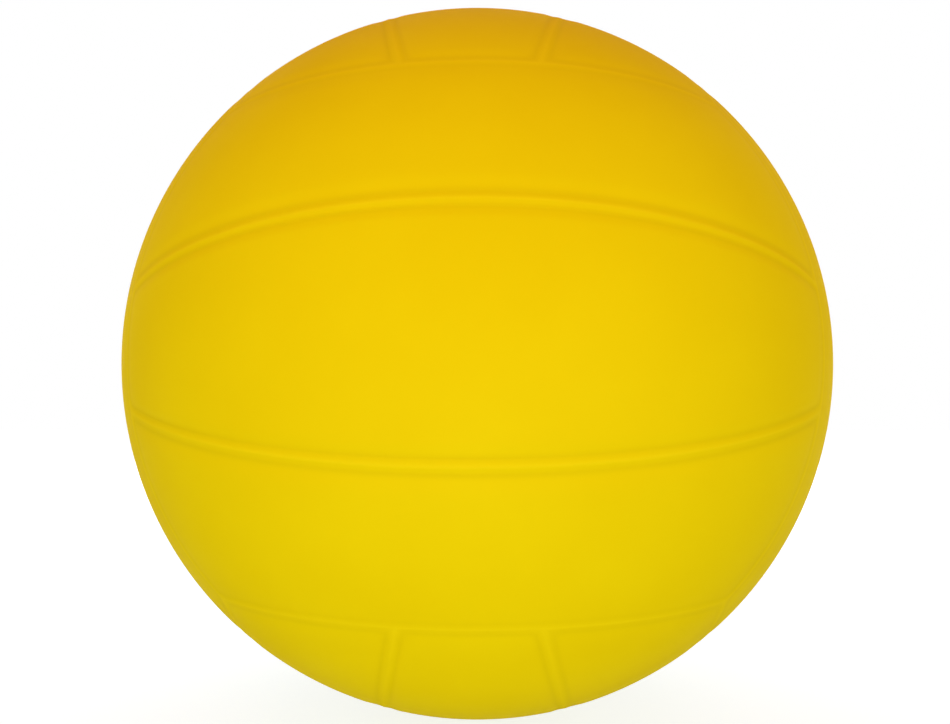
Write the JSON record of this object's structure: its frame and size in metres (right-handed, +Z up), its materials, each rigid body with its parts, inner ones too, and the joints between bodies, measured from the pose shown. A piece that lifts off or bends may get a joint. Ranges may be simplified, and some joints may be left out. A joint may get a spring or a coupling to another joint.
{
  "type": "volleyball",
  "caption": "Inflatable volleyball: strip-shaped cover panels in crossing groups on a ribbed rubber carcass, with winding, bladder and a pull-out inflation valve core at the back.",
  "frame": {"origin": "centre of the ball", "axes": "+Z up, -Y towards the viewer of the picture, so the front panels face -Y; the valve's axis is +Y, at the back"},
  "size_m": [0.21, 0.2098, 0.21],
  "materials": {
    "cover_vinyl": "smooth satin moulded vinyl, yellow",
    "carcass_rubber": "smooth satin moulded rubber, yellow",
    "winding_nylon": "matt wound thread, off-white",
    "bladder_butyl": "matt butyl rubber, black",
    "patch_rubber": "matt rubberised disc, grey",
    "valve_rubber": "satin moulded rubber, dark"
  },
  "bodies": {
    "ball": {"front_lower_panel": "cover_vinyl", "front_middle_panel": "cover_vinyl", "front_upper_panel": "cover_vinyl", "back_lower_panel": "cover_vinyl", "back_middle_panel": "cover_vinyl", "back_upper_panel": "cover_vinyl", "top_left_panel": "cover_vinyl", "top_middle_panel": "cover_vinyl", "top_right_panel": "cover_vinyl", "bottom_left_panel": "cover_vinyl", "bottom_middle_panel": "cover_vinyl", "bottom_right_panel": "cover_vinyl", "right_front_panel": "cover_vinyl", "right_middle_panel": "cover_vinyl", "right_rear_panel": "cover_vinyl", "left_front_panel": "cover_vinyl", "left_middle_panel": "cover_vinyl", "left_rear_panel": "cover_vinyl", "carcass": "carcass_rubber", "thread_winding": "winding_nylon", "bladder": "bladder_butyl", "valve_patch": "patch_rubber", "valve_housing": "valve_rubber"},
    "valve_plug": {"valve_core": "valve_rubber"}
  },
  "joints": [
    {"name": "valve_core_pull", "type": "slide", "parent": "ball", "child": "valve_plug", "axis": [0, 1, 0], "range_m": [0, 0.018]}
  ]
}
